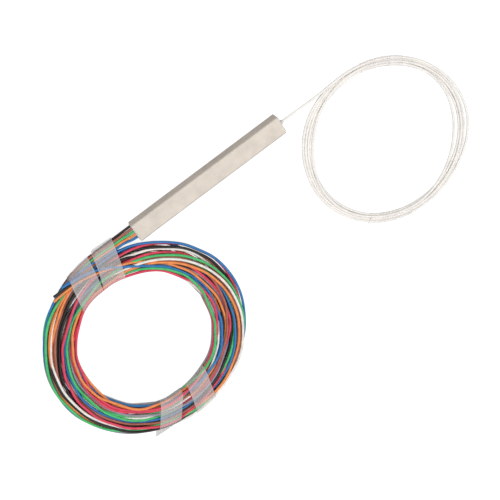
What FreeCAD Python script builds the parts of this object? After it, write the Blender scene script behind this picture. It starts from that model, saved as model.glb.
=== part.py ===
import FreeCAD, Part
import math
import os
from FreeCAD import Vector

# PLC fibre splitter, 1 x 8, in a bare rectangular steel tube with loose-tube leads.
# Millimetres. Origin: centre of the tube's underside. +X from the input end to the
# output end, +Y towards the two coils, +Z up.

# ---- steel tube ----
tube_length = 60.0
tube_width = 7.0
tube_height = 4.0
tube_wall = 0.4
tube_corner = 0.6          # outer corner radius, along the tube
tube_inner_corner = 0.3

# ---- leads: one natural input, eight coloured outputs ----
lead_diameter = 0.9
lead_inset = 1.4           # how far each lead reaches into the steel tube
colours = ["blue", "orange", "green", "brown", "slate", "white", "red", "black"]
hole_web = 0.35            # seal material between two leads of one row
row_web = 0.05             # between the two rows, before their stagger
hole_clearance = 0.01      # all round a lead in its seal

# ---- end seals ----
seal_depth = 1.2
seal_proud = 0.3
seal_bevel = 0.2
seal_clearance = 0.01      # all round, to the steel tube
bead_length = 0.9
bead_round = 0.45          # how far the bead spreads past the lead at its foot

# ---- fibres ----
bare_fibre = 0.125
coated_fibre = 0.2
fibre_pitch = 0.25
fibre_clearance = 0.01
ribbon_cover = 0.05        # ribbon jacket outside its fibres
ribbon_length = 5.8
strip_back = 0.1           # from the end of the grooves to the coating

# ---- chip and fibre blocks ----
chip_length = 12.0
chip_offset = -6.0         # middle of the chip along the tube
glass_thickness = 1.0      # chip base and block bases
lid_thickness = 0.7
side_margin = 0.325        # glass beside the outermost fibre
chip_lid_length = 3.0
input_block_length = 6.0
output_block_length = 7.0
input_groove_length = 3.5
output_groove_length = 4.0
groove_half_angle = 35.0
core_width = 0.06
core_depth = 0.04
core_stem = 1.6            # straight waveguide at the chip's input edge
core_branch = 2.9          # length of each level of branches
cushion_length = 3.6
cushion_round = 0.5

# ---- output coil ----
output_coil_radius = 35.5
output_coil_width = 11.3   # across its turns
output_coil_height = 4.2
output_coil_edge = -0.2    # nearest edge of the ring, across from the tube's middle
output_coil_gap = 0.9      # from the ring to the far corner of the tube's output end
output_coil_bevel = 1.3    # 45 degree corners of the bundle section
entry_reach = 10.1         # along, from the ring's middle to where leads join or leave it
entry_pitch_web = 0.03     # between leads laid side by side
entry_shift = -0.65        # how far the row's middle moves across on its way
entry_cover = 0.09
entry_bend_start = 1.9
entry_bend_run = 3.3
# cut ends: lead, how far it stands out of the coil, its place across and its height
tails = [("orange", 7.8, 0.0, 2.4), ("black", 6.5, -0.95, 1.9), ("blue", 3.4, -1.9, 1.5)]

# ---- input coil ----
input_coil_radius = 30.7
input_coil_width = 4.0
input_coil_height = 1.9
input_coil_along = 28.2
input_coil_across = 26.3
input_coil_bevel = 0.6
input_entry_along = 17.0
input_entry_across = 0.6
input_entry_height = 1.25
input_entry_cover = 0.25
input_bend_start = 4.4
input_bend_run = 7.0

# ---- clear tape ties ----
film = 0.1
# name, place round the coil and slant against the radius in degrees, width of the film,
# and how far its free end sticks out past the bundle at the film's two edges
output_ties = [("lower_left", 263.4, -9.0, 7.6, 0.5, 1.0),
               ("lower_right", 281.8, -22.0, 8.6, 0.5, 0.3),
               ("upper_left", 98.8, -19.0, 7.8, 0.3, 0.3),
               ("upper_right", 74.5, -19.0, 7.6, 3.0, 0.2)]
# name, first place in degrees
input_ties = [("lower", 233.0), ("upper", 53.0)]
input_tie_width = 4.95
input_tie_step = 10.9      # degrees from one wrap to the next
input_tie_slant = -6.0

# ---- worked out from the sizes above ----
half_length = tube_length / 2
half_width = tube_width / 2
axis_z = tube_height / 2
fibre_count = len(colours)
block_width = (fibre_count - 1) * fibre_pitch + 2 * side_margin
chip_in = chip_offset - chip_length / 2
chip_out = chip_offset + chip_length / 2
base_z = axis_z - glass_thickness
hole_pitch = lead_diameter + hole_web
row_rise = lead_diameter + row_web
row_size = fibre_count // 2
ribbon_thickness = coated_fibre + 2 * ribbon_cover
lead_start = half_length - lead_inset
output_coil_bore = output_coil_radius - output_coil_width
output_coil_y = output_coil_edge + output_coil_radius
output_coil_x = half_length + math.sqrt((output_coil_radius + output_coil_gap) ** 2
                                        - (output_coil_y - half_width) ** 2)
entry_x = output_coil_x - entry_reach
tail_x = output_coil_x + entry_reach
input_coil_bore = input_coil_radius - input_coil_width
input_coil_x = -half_length - input_coil_along
input_coil_y = half_width + input_coil_across


def box(x0, x1, y0, y1, z0, z1):
    return Part.makeBox(x1 - x0, y1 - y0, z1 - z0, Vector(x0, y0, z0))


def rounded_bar(x0, x1, half_y, z0, z1, radius):
    bar = box(x0, x1, -half_y, half_y, z0, z1)
    along = [e for e in bar.Edges if abs(e.tangentAt(e.FirstParameter).x) > 0.99]
    return bar.makeFillet(radius, along)


def rod(x0, x1, y, z, diameter):
    return Part.makeCylinder(diameter / 2, x1 - x0, Vector(x0, y, z), Vector(1, 0, 0))


def prism(outline, height):
    """A closed outline of points, extruded upwards."""
    wire = Part.makePolygon(outline + [outline[0]])
    return Part.Face(wire).extrude(Vector(0, 0, height))


def eight_sided(x, y, z, diameter):
    """Outline that stands for a round fibre: eight corners on its circle."""
    corners = []
    for step in range(9):
        turn = math.radians(45 * step)
        corners.append(Vector(x, y + diameter / 2 * math.cos(turn),
                              z + diameter / 2 * math.sin(turn)))
    return Part.makePolygon(corners)


def straight_fibre(x0, x1, y, z, diameter):
    return Part.Face(eight_sided(x0, y, z, diameter)).extrude(Vector(x1 - x0, 0, 0))


def route_tube(points, profile, name):
    """A tube along straight runs joined by tangent arcs, as large as the runs allow.

    A point where the route goes straight on gets no arc. The profile stands at the first
    point, square to the first run.
    """
    points = [Vector(*p) for p in points]
    edges = []
    radii = []
    last = points[0]
    for before, corner, after in zip(points, points[1:], points[2:]):
        first = (before - corner).normalize()
        second = (after - corner).normalize()
        turn = math.pi - first.getAngle(second)
        if turn < 1e-6:
            continue
        reach = 0.45 * min(corner.distanceToPoint(before), corner.distanceToPoint(after))
        radius = reach / math.tan(turn / 2)
        inward = (first + second).normalize()
        middle = corner + inward * (radius / math.cos(turn / 2) - radius)
        start = corner + first * reach
        end = corner + second * reach
        edges.append(Part.LineSegment(last, start).toShape())
        edges.append(Part.Arc(start, middle, end).toShape())
        radii.append(radius)
        last = end
    edges.append(Part.LineSegment(last, points[-1]).toShape())
    path = Part.Wire(edges)
    tube = path.makePipeShell([profile], True, False)
    expected = Part.Face(profile).Area * path.Length
    print(name, "length", round(path.Length, 2), "radii", [round(r, 1) for r in radii],
          "volume ratio", round(tube.Volume / expected, 4))
    return tube


# ---- places that several pieces share ----

def fibre_y(index):
    """Fibres lie side by side, the first one farthest across."""
    return ((fibre_count - 1) / 2 - index) * fibre_pitch


def hole_place(index):
    """Two rows of leads in the output seal; the lower row is half a pitch nearer."""
    upper = index < row_size
    place = (row_size - 1) / 2 - index % row_size
    stagger = 0 if upper else -0.5
    return (place + stagger) * hole_pitch, axis_z + (0.5 if upper else -0.5) * row_rise


def entry_y(index):
    """Where a lead joins the coil: the rows have closed up side by side."""
    place = (row_size - 1) / 2 - index % row_size
    stagger = 0 if index < row_size else -0.5
    return (place + stagger) * (lead_diameter + entry_pitch_web) + entry_shift


def lead_points(index):
    y, z = hole_place(index)
    bend = half_length + entry_bend_start
    return [(lead_start, y, z), (bend, y, z), (bend + entry_bend_run, entry_y(index), z),
            (entry_x, entry_y(index), z)]


def input_points():
    bend = -half_length - input_bend_start
    beside = (input_entry_across, input_entry_height)
    return [(-lead_start, 0, axis_z), (bend, 0, axis_z), (bend - input_bend_run, *beside),
            (-half_length - input_entry_along, *beside)]


# ---- steel tube and its seals ----

def housing_tube():
    outer = rounded_bar(-half_length, half_length, half_width, 0, tube_height, tube_corner)
    inner = rounded_bar(-half_length, half_length, half_width - tube_wall, tube_wall,
                        tube_height - tube_wall, tube_inner_corner)
    return outer.cut(inner)


def seal_plug(side):
    """Cast seal that fills one end of the steel tube and stands a little proud of it."""
    gap = tube_wall + seal_clearance
    x0 = half_length - seal_depth
    x1 = half_length + seal_proud
    plug = rounded_bar(x0, x1, half_width - gap, gap, tube_height - gap,
                       tube_inner_corner)
    rim = [e for e in plug.Edges if all(abs(v.X - x1) < 1e-6 for v in e.Vertexes)]
    plug = plug.makeChamfer(min(seal_bevel, seal_proud), rim)
    if side < 0:
        plug = plug.mirror(Vector(0, 0, 0), Vector(1, 0, 0))
    return plug


def lead_hole(y, z, side):
    size = lead_diameter + 2 * hole_clearance
    hole = rod(half_length - seal_depth - 1, half_length + seal_proud + bead_length + 1, y, z, size)
    return hole if side > 0 else hole.mirror(Vector(0, 0, 0), Vector(1, 0, 0))


def output_seal():
    plug = seal_plug(1)
    for index in range(fibre_count):
        plug = plug.cut(lead_hole(*hole_place(index), 1))
    return plug


def input_seal():
    return seal_plug(-1).cut(lead_hole(0, axis_z, -1))


def input_bead():
    """Small cone of sealant round the input lead, against the seal."""
    foot = lead_diameter / 2 + bead_round
    neck = lead_diameter / 2 + 0.3 * bead_round
    start = Vector(-half_length - seal_proud, 0, axis_z)
    bead = Part.makeCone(foot, neck, bead_length, start, Vector(-1, 0, 0))
    return bead.cut(lead_hole(0, axis_z, -1))


# ---- chip with its waveguides ----

def core_strip(x0, y0, x1, y1):
    half = core_width / 2
    bottom = axis_z - core_depth
    outline = [Vector(x0, y0 - half, bottom), Vector(x1, y1 - half, bottom),
               Vector(x1, y1 + half, bottom), Vector(x0, y0 + half, bottom)]
    return prism(outline, core_depth)


def waveguide_core():
    """One input guide that forks three times into eight, out to the fibre pitch."""
    start = chip_in + core_stem
    core = core_strip(chip_in, 0, start, 0)
    levels = int(round(math.log2(fibre_count)))
    guides = [0.0]
    for level in range(levels):
        spread = fibre_pitch * fibre_count / 2 ** (level + 2)
        end = start + core_branch
        children = []
        for y in guides:
            for child in (y - spread, y + spread):
                core = core.fuse(core_strip(start, y, end, child))
                children.append(child)
        guides = children
        start = end
    for y in guides:
        core = core.fuse(core_strip(start, y, chip_out, y))
    return core.removeSplitter()


def splitter_chip():
    half = block_width / 2
    return box(chip_in, chip_out, -half, half, base_z, axis_z).cut(waveguide_core())


def glass_lid(x0, x1, z0):
    half = block_width / 2
    return box(x0, x1, -half, half, z0, z0 + lid_thickness)


# ---- fibre blocks ----

def v_groove(x0, x1, y):
    """Groove whose walls touch a bare fibre, with the fibre's axis on the glass surface."""
    angle = math.radians(groove_half_angle)
    depth = (bare_fibre / 2 + fibre_clearance) / math.sin(angle)
    half = depth * math.tan(angle)
    wire = Part.makePolygon([Vector(x0, y - half, axis_z), Vector(x0, y, axis_z - depth),
                             Vector(x0, y + half, axis_z), Vector(x0, y - half, axis_z)])
    return Part.Face(wire).extrude(Vector(x1 - x0, 0, 0))


def fibre_block(length, groove_length, rows, shelf_drop):
    """Block beside the chip: grooves at the chip, a lower shelf behind for the coatings."""
    half = block_width / 2
    block = box(0, length, -half, half, base_z, axis_z)
    block = block.cut(box(groove_length, length, -half, half, axis_z - shelf_drop, axis_z))
    for y in rows:
        block = block.cut(v_groove(0, groove_length, y))
    return block


def output_fibre_block():
    rows = [fibre_y(index) for index in range(fibre_count)]
    drop = ribbon_thickness / 2 + fibre_clearance
    block = fibre_block(output_block_length, output_groove_length, rows, drop)
    return block.translate(Vector(chip_out, 0, 0))


def input_fibre_block():
    drop = coated_fibre / 2 + fibre_clearance
    block = fibre_block(input_block_length, input_groove_length, [0.0], drop)
    block = block.mirror(Vector(0, 0, 0), Vector(1, 0, 0))
    return block.translate(Vector(chip_in, 0, 0))


def cushion(x_middle):
    """Silicone pad between the glass and the floor of the steel tube."""
    half = block_width / 2
    pad = box(x_middle - cushion_length / 2, x_middle + cushion_length / 2, -half, half,
              tube_wall, base_z)
    upright = [e for e in pad.Edges if abs(e.tangentAt(e.FirstParameter).z) > 0.99]
    return pad.makeFillet(cushion_round, upright)


# ---- fibres ----

def ribbon_jacket():
    """Flat jacket that holds the eight coated fibres side by side."""
    x0 = chip_out + output_groove_length + 2 * strip_back
    half = fibre_y(0) + coated_fibre / 2 + ribbon_cover
    jacket = box(x0, x0 + ribbon_length, -half, half, axis_z - ribbon_thickness / 2,
                 axis_z + ribbon_thickness / 2)
    for index in range(fibre_count):
        size = coated_fibre + 2 * fibre_clearance
        channel = straight_fibre(x0 - 1, x0 + ribbon_length + 1, fibre_y(index), axis_z, size)
        jacket = jacket.cut(channel)
    return jacket


def output_fibre(index):
    """Bare in its groove, coated from there through the ribbon and the fan-out to its lead.

    Each half of the fibres first rises or sinks to its row of leads, then spreads across,
    so that the two halves pass over each other clear.
    """
    groove_end = chip_out + output_groove_length
    ribbon_end = groove_end + 2 * strip_back + ribbon_length
    room = lead_start - ribbon_end
    y0 = fibre_y(index)
    y1, z1 = hole_place(index)
    points = [(groove_end + strip_back, y0, axis_z), (ribbon_end + 0.14 * room, y0, axis_z),
              (ribbon_end + 0.42 * room, y0, z1), (ribbon_end + 0.9 * room, y1, z1),
              (lead_start, y1, z1)]
    profile = eight_sided(*points[0], coated_fibre)
    coated = route_tube(points, profile, "fibre_" + colours[index])
    bare = straight_fibre(chip_out, groove_end + strip_back, y0, axis_z, bare_fibre)
    return coated.fuse(bare)


def input_fibre():
    groove_end = chip_in - input_groove_length
    coated = straight_fibre(-lead_start, groove_end - strip_back, 0, axis_z, coated_fibre)
    bare = straight_fibre(groove_end - strip_back, chip_in, 0, axis_z, bare_fibre)
    return coated.fuse(bare)


# ---- leads ----

def lead_tube(points, name):
    start = Vector(*points[0])
    profile = Part.Wire(Part.makeCircle(lead_diameter / 2, start, Vector(*points[1]) - start))
    return route_tube(points, profile, name)


def output_lead(index):
    return lead_tube(lead_points(index), "lead_" + colours[index])


def input_lead():
    return lead_tube(input_points(), "lead_input")


# ---- coils, each one solid of the outer shape of its turns ----

def bevelled(a0, a1, b0, b1, bevel, grow, place):
    """A rectangle with 45 degree corners, all its sides moved out by grow."""
    cut = bevel + grow * (2 - math.sqrt(2))
    a0, a1, b0, b1 = a0 - grow, a1 + grow, b0 - grow, b1 + grow
    corners = [(a0 + cut, b0), (a1 - cut, b0), (a1, b0 + cut), (a1, b1 - cut),
               (a1 - cut, b1), (a0 + cut, b1), (a0, b1 - cut), (a0, b0 + cut)]
    points = [place(a, b) for a, b in corners]
    return Part.Face(Part.makePolygon(points + [points[0]]))


def ring(x, y, outer, inner, z0, z1, bevel, grow):
    """A flat ring of turns; grow is for the film that is wrapped round it."""
    section = bevelled(inner, outer, z0, z1, bevel, grow, lambda a, b: Vector(a, 0, b))
    turned = section.revolve(Vector(0, 0, 0), Vector(0, 0, 1), 360)
    return turned.translate(Vector(x, y, 0))


def laid_bundle(x0, x1, y0, y1, z0, z1, bevel, grow):
    """The straight stretch where leads lie against the ring."""
    section = bevelled(y0, y1, z0, z1, bevel, grow, lambda a, b: Vector(x0, a, b))
    return section.extrude(Vector(x1 - x0, 0, 0))


def output_coil(grow=0.0):
    """The ring with the straight stretch where leads join it and cut ends leave it."""
    top = film + output_coil_height
    turns = ring(output_coil_x, output_coil_y, output_coil_radius, output_coil_bore, film, top,
                 output_coil_bevel, grow)
    around = lead_diameter / 2 + entry_cover
    joined = laid_bundle(entry_x, tail_x, entry_y(fibre_count - 1) - around,
                         entry_y(0) + around, axis_z - row_rise / 2 - around,
                         axis_z + row_rise / 2 + around, 2 * entry_cover, grow)
    return turns.fuse(joined)


def input_coil(grow=0.0):
    top = film + input_coil_height
    turns = ring(input_coil_x, input_coil_y, input_coil_radius, input_coil_bore, film, top,
                 input_coil_bevel, grow)
    half = lead_diameter / 2 + input_entry_cover
    low = input_entry_height - half
    joined = laid_bundle(input_coil_x + 2, -half_length - input_entry_along,
                         input_entry_across - half, input_entry_across + half, low,
                         input_entry_height + half, input_entry_cover, 0)
    return turns.fuse(joined)


def cut_tail(length, across, height):
    return rod(tail_x, tail_x + length, across, height, lead_diameter)


# ---- tape ties ----

def strip(place, slant, width, inner, reach_a, reach_b, z0, z1):
    """A strip across the bundle along its own line, as long as each reach at its two edges."""
    bar = prism([Vector(inner, -width / 2, z0), Vector(reach_a, -width / 2, z0),
                 Vector(reach_b, width / 2, z0), Vector(inner, width / 2, z0)], z1 - z0)
    middle = (output_coil_radius + output_coil_bore) / 2
    bar.rotate(Vector(middle, 0, 0), Vector(0, 0, 1), slant)
    bar.rotate(Vector(0, 0, 0), Vector(0, 0, 1), place)
    return bar.translate(Vector(output_coil_x, output_coil_y, 0))


def output_tie(place, slant, width, free_a, free_b):
    """Film wrapped round the bundle, its two ends stuck together and standing out."""
    lower = math.sin(math.radians(place)) < 0
    bundle = output_coil_radius
    if lower:
        bundle = output_coil_y - entry_y(fibre_count - 1) + lead_diameter / 2
    middle_z = film + output_coil_height / 2
    past = bundle + max(free_a, free_b) + 3
    wrap = output_coil(film).cut(output_coil())
    band = wrap.common(strip(place, slant, width, output_coil_bore - 3, past, past, -1,
                             2 * output_coil_height))
    end = strip(place, slant, width, output_coil_radius - 2, bundle + free_a, bundle + free_b,
                middle_z - film, middle_z + film)
    return band.fuse(end.cut(output_coil())).removeSplitter()


def input_tie(place):
    bar = box(input_coil_bore - 2, input_coil_radius + 2, -input_tie_width / 2,
              input_tie_width / 2, -1, 2 * input_coil_height)
    middle = (input_coil_radius + input_coil_bore) / 2
    bar.rotate(Vector(middle, 0, 0), Vector(0, 0, 1), input_tie_slant)
    bar.rotate(Vector(0, 0, 0), Vector(0, 0, 1), place)
    bar.translate(Vector(input_coil_x, input_coil_y, 0))
    return input_coil(film).cut(input_coil()).common(bar)


def pieces():
    nodes = {
        "housing_tube": housing_tube(),
        "input_seal": input_seal(),
        "output_seal": output_seal(),
        "input_bead": input_bead(),
        "splitter_chip": splitter_chip(),
        "waveguide_core": waveguide_core(),
        "chip_lid_input": glass_lid(chip_in, chip_in + chip_lid_length, axis_z),
        "chip_lid_output": glass_lid(chip_out - chip_lid_length, chip_out, axis_z),
        "input_fibre_block": input_fibre_block(),
        "output_fibre_block": output_fibre_block(),
    }
    clamp_z = axis_z + bare_fibre / 2 + fibre_clearance
    nodes["input_block_lid"] = glass_lid(chip_in - input_groove_length, chip_in, clamp_z)
    nodes["output_block_lid"] = glass_lid(chip_out, chip_out + output_groove_length, clamp_z)
    nodes["input_cushion"] = cushion(chip_in - input_block_length / 2)
    nodes["output_cushion"] = cushion(chip_out + output_block_length / 2)
    nodes["ribbon_jacket"] = ribbon_jacket()
    nodes["fibre_input"] = input_fibre()
    nodes["lead_input"] = input_lead()
    for index, colour in enumerate(colours):
        nodes["fibre_" + colour] = output_fibre(index)
        nodes["lead_" + colour] = output_lead(index)
    nodes["input_coil"] = input_coil()
    nodes["output_coil"] = output_coil()
    for colour, length, across, height in tails:
        nodes["tail_" + colour] = cut_tail(length, across, height)
    for name, place, slant, width, free_a, free_b in output_ties:
        nodes["tie_" + name] = output_tie(place, slant, width, free_a, free_b)
    for name, place in input_ties:
        for wrap in range(3):
            nodes["wrap_%s_%d" % (name, wrap + 1)] = input_tie(place + wrap * input_tie_step)
    return nodes


os.makedirs("parts", exist_ok=True)
for node, shape in pieces().items():
    shape.exportStep("parts/" + node + ".step")
    print(node, shape.ShapeType, len(shape.Solids), "solid", round(shape.Volume, 3), "mm3",
          "valid" if shape.isValid() else "NOT VALID")
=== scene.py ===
"""Dresses a bare 1 x 8 planar splitter: steel tube, nine loose-tube leads in two coils, tape.

Sizes in the tables are millimetres and degrees; everything handed to Blender is in metres.
Angles round a coil count from +X towards +Y. The output coil's tables of turns run from the
lowest strand to the one that lies on top; the input coil's runs as the lead winds.
"""

import math
from itertools import permutations

import bpy
import numpy as np
from bpy.props import FloatProperty, FloatVectorProperty, PointerProperty, StringProperty
from mathutils import Matrix, Vector


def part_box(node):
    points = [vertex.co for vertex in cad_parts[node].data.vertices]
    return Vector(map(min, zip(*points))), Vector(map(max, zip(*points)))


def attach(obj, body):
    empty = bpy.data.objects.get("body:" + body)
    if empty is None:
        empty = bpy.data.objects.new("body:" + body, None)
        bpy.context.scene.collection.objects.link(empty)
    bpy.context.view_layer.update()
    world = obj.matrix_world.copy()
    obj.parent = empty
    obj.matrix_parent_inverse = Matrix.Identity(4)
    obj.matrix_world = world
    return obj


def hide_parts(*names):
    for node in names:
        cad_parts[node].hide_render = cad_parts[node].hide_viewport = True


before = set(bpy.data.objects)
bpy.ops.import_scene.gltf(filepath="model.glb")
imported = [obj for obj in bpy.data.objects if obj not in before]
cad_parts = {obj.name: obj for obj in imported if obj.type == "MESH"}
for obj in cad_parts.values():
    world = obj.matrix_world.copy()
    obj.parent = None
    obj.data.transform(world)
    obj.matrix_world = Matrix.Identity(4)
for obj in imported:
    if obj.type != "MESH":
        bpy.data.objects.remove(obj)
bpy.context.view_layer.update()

bl_info = {
    "name": "Fibre Splitter Dresser",
    "version": (1, 0, 0),
    "blender": (4, 5, 0),
    "location": "View3D > Sidebar > Splitter",
    "description": "Finishes, taped lead coils and a plain studio for a fibre splitter module",
    "category": "Object",
}

MM = 0.001
TURNS = 5               # of each output lead

# ---- the leads, in the order in which they sit in the output seal ----

LEAD_ORDER = ("blue", "orange", "green", "brown", "slate", "white", "red", "black")
LEADS_IN_ROW = 4        # in each of the output seal's two rows
FLOOR_FILM = 0.1        # tape that lies under the coils
COIL_TOP = 3.9          # highest middle of a strand in the output coil
INPUT_TOP = 1.5         # the same in the input coil
BEND_START = 1.9        # from the steel tube's end to a lead's first bend
BEND_RUN = 3.3
HOLE_PITCH = 1.25       # between the holes of one row
ROW_RISE = 0.95         # between the two rows
LAID_PITCH = 0.93       # between leads laid side by side
LAID_SHIFT = -0.65      # how far the laid row's middle moves across
OUTPUT_START = 265.0    # bearing of the first point that winds
JOINED_BEARING = 270    # where a lead has joined the coil
JOINED_RADIUS = 35.6    # radius there of a lead that arrives at ARRIVING_RADIUS
ARRIVING_RADIUS = 36.5
JOINED_SPREAD = 0.3     # share of the leads' spread that is left there
OUTPUT_MIDDLE = 30.0    # middle radius of the bundle, where a tie is centred
OUTPUT_REACH = 11.0     # how far a tie looks for strands on each side of it

# ---- turns of the output coil: radius at each bearing ----

EAST_BEARINGS = (-75, -45, -15, 15, 45, 72)
EAST_TURNS = (
    ("green", (35.3, 34.9, 34.2, 33.4, 31.6, 31.0)),
    ("red", (34.4, 34.2, 33.6, 32.6, 31.2, 32.0)),
    ("brown", (35.6, 34.4, 33.0, 31.6, 30.2, 29.4)),
    ("black", (33.9, 33.0, 31.8, 30.4, 29.2, 28.6)),
    ("white", (33.0, 32.0, 31.0, 30.2, 30.0, 30.6)),
    ("slate", (32.6, 31.8, 30.8, 29.4, 28.2, 27.6)),
    ("green", (31.9, 31.0, 29.8, 28.4, 27.4, 27.2)),
    ("blue", (31.2, 30.2, 29.4, 28.6, 28.2, 29.0)),
    ("orange", (30.6, 29.8, 28.6, 27.2, 28.4, 29.6)),
    ("brown", (30.0, 28.8, 27.4, 26.2, 26.8, 27.2)),
    ("black", (29.2, 28.0, 26.8, 25.8, 26.0, 26.6)),
    ("white", (28.0, 27.2, 26.2, 25.2, 25.4, 25.8)),
    ("red", (27.4, 26.4, 26.6, 27.6, 28.4, 29.2)),
    ("slate", (31.6, 31.6, 31.8, 31.5, 31.8, 32.2)),
    ("white", (28.6, 28.4, 27.6, 26.9, 27.4, 27.9)),
    ("slate", (27.5, 27.0, 26.0, 25.2, 24.1, 24.3)),
    ("brown", (27.0, 26.6, 25.6, 25.2, 25.2, 25.6)),
    ("green", (27.6, 27.8, 28.0, 28.1, 28.6, 29.2)),
    ("slate", (33.8, 34.8, 36.1, 36.3, 35.7, 34.9)),
    ("blue", (33.4, 34.4, 36.0, 35.6, 34.8, 34.0)),
    ("brown", (33.2, 32.8, 32.5, 32.2, 32.9, 34.3)),
    ("orange", (34.6, 33.9, 33.2, 32.6, 32.8, 33.0)),
    ("black", (32.4, 31.6, 31.4, 32.4, 33.2, 33.0)),
    ("black", (31.9, 31.1, 31.2, 33.0, 33.6, 33.4)),
    ("blue", (37.0, 36.5, 35.9, 35.3, 34.2, 33.2)),
    ("white", (31.1, 30.5, 30.2, 29.6, 28.9, 28.4)),
    ("slate", (28.3, 27.8, 27.2, 27.3, 27.9, 28.3)),
    ("blue", (26.5, 26.0, 25.4, 24.9, 24.5, 25.2)),
    ("orange", (26.0, 25.0, 24.3, 24.4, 25.6, 26.4)),
    ("red", (26.2, 25.9, 26.2, 26.9, 27.6, 28.0)),
    ("brown", (29.0, 29.2, 29.8, 30.8, 32.0, 32.9)),
    ("blue", (29.4, 29.1, 29.1, 29.8, 30.7, 31.3)),
    ("green", (28.0, 28.1, 28.6, 28.8, 29.4, 30.2)),
    ("red", (26.4, 25.5, 25.0, 26.1, 26.8, 27.4)),
    ("orange", (27.3, 26.3, 25.9, 25.6, 25.4, 26.0)),
    ("orange", (34.9, 35.0, 34.8, 34.0, 33.4, 33.3)),
    ("green", (35.7, 36.1, 35.8, 34.9, 33.7, 32.6)),
    ("white", (35.0, 34.4, 33.6, 33.0, 33.2, 34.3)),
    ("black", (35.8, 35.2, 34.0, 33.2, 33.4, 33.8)),
    ("red", (29.7, 29.9, 30.4, 31.6, 32.9, 33.7)),
)

WEST_BEARINGS = (102, 125, 150, 175, 200, 225, 250)
WEST_TURNS = (
    ("brown", (31.4, 31.2, 31.0, 30.6, 30.0, 30.6, 31.4)),
    ("orange", (32.4, 32.0, 31.0, 30.2, 31.0, 31.6, 32.6)),
    ("slate", (32.0, 31.4, 30.4, 29.4, 28.8, 29.6, 30.8)),
    ("green", (30.0, 29.8, 29.4, 28.8, 28.2, 29.0, 30.2)),
    ("black", (29.2, 29.0, 28.6, 28.0, 27.4, 28.2, 29.6)),
    ("white", (28.2, 28.0, 27.8, 27.2, 26.6, 27.4, 29.0)),
    ("brown", (26.2, 26.4, 26.6, 26.2, 25.6, 26.4, 27.8)),
    ("orange", (25.6, 25.8, 25.6, 25.4, 25.6, 26.6, 28.4)),
    ("slate", (24.8, 25.0, 25.0, 24.8, 25.0, 26.0, 27.2)),
    ("green", (25.2, 25.4, 26.2, 27.0, 27.8, 28.6, 31.0)),
    ("black", (26.0, 26.4, 27.2, 28.4, 29.8, 31.2, 32.2)),
    ("blue", (31.0, 30.8, 30.4, 31.4, 32.4, 33.4, 33.8)),
    ("orange", (27.4, 27.5, 27.5, 27.3, 27.4, 27.8, 27.6)),
    ("black", (27.2, 27.3, 27.6, 27.7, 27.6, 27.5, 27.2)),
    ("white", (29.0, 28.9, 28.7, 28.5, 28.5, 28.2, 27.9)),
    ("brown", (33.0, 33.2, 33.6, 33.9, 33.2, 31.9, 30.5)),
    ("blue", (27.2, 27.4, 26.9, 26.7, 26.6, 26.8, 26.9)),
    ("white", (31.6, 31.7, 32.0, 32.3, 32.7, 32.9, 32.0)),
    ("red", (32.2, 32.4, 32.6, 32.6, 32.4, 31.9, 30.5)),
    ("black", (31.1, 31.0, 30.5, 29.7, 28.9, 27.9, 27.3)),
    ("slate", (30.5, 30.3, 30.0, 29.0, 28.0, 27.6, 28.0)),
    ("slate", (33.4, 33.3, 32.9, 30.9, 29.8, 29.0, 28.6)),
    ("green", (31.9, 32.0, 31.3, 30.6, 29.8, 28.9, 28.2)),
    ("blue", (32.8, 32.8, 31.8, 30.1, 29.1, 28.2, 27.6)),
    ("red", (29.5, 29.2, 29.5, 29.1, 29.2, 29.8, 30.3)),
    ("orange", (28.0, 28.3, 28.6, 27.6, 27.3, 27.7, 27.8)),
    ("brown", (28.2, 28.4, 28.7, 29.0, 29.4, 28.9, 28.4)),
    ("black", (34.0, 34.4, 34.9, 34.6, 34.1, 33.7, 33.3)),
    ("red", (33.6, 33.8, 34.3, 34.8, 35.0, 34.6, 34.2)),
    ("slate", (26.9, 26.3, 25.2, 23.8, 23.3, 24.5, 26.0)),
    ("white", (27.0, 26.5, 25.5, 24.6, 23.7, 24.8, 26.2)),
    ("red", (25.4, 25.2, 24.6, 24.2, 24.7, 25.4, 26.2)),
    ("red", (24.6, 24.8, 25.1, 25.3, 24.6, 25.0, 25.9)),
    ("green", (24.2, 23.6, 23.1, 24.2, 25.2, 26.0, 26.6)),
    ("blue", (26.6, 26.8, 26.6, 26.2, 26.2, 26.3, 26.6)),
    ("blue", (34.6, 35.2, 35.8, 36.3, 36.1, 35.5, 34.9)),
    ("green", (34.8, 34.9, 35.8, 34.2, 31.8, 30.0, 28.6)),
    ("brown", (35.2, 35.1, 34.0, 32.2, 30.6, 29.2, 28.2)),
    ("orange", (34.4, 34.3, 33.6, 31.9, 30.2, 28.8, 27.6)),
    ("white", (34.6, 35.6, 34.9, 32.4, 30.2, 28.7, 28.2)),
)

# How far in and out the turns reach: bearing, innermost and outermost strand.
COIL_EDGES = (
    (0, 24.0, 35.5), (60, 25.2, 35.7), (120, 25.2, 36.4), (180, 23.5, 36.0), (240, 25.5, 35.0),
    (260, 25.8, 35.6), (285, 26.0, 36.8), (300, 26.2, 36.9), (320, 25.2, 35.9),
)

# Cut ends: (bearing, radius) after the last turn. They lie on top of the other turns.
CUT_ENDS = {
    "orange": ((256, 28.9), (266, 31.2), (274, 32.3), (282, 33.9), (290, 36.0), (297.5, 38.1)),
    "black": ((256, 32.3), (267, 32.8), (275, 34.0), (283, 35.7), (289, 37.1), (295.4, 38.6)),
    "blue": ((256, 27.6), (268, 33.4), (275, 35.6), (281, 36.7), (285, 37.3), (289.5, 38.2)),
}
CUT_ENDS_LIE = (262, 302)  # bearings at which they press the other turns down
CUT_END_LAYER = 4       # how far above the turns' places in the pile they start
HIDDEN_RADIUS = 29.0    # where the other leads' turns are ordered to end
HIDDEN_END = 268        # bearing at which the other leads end, under the ties
HIDDEN_DRIFT = 0.3      # how far out such an end moves

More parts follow.
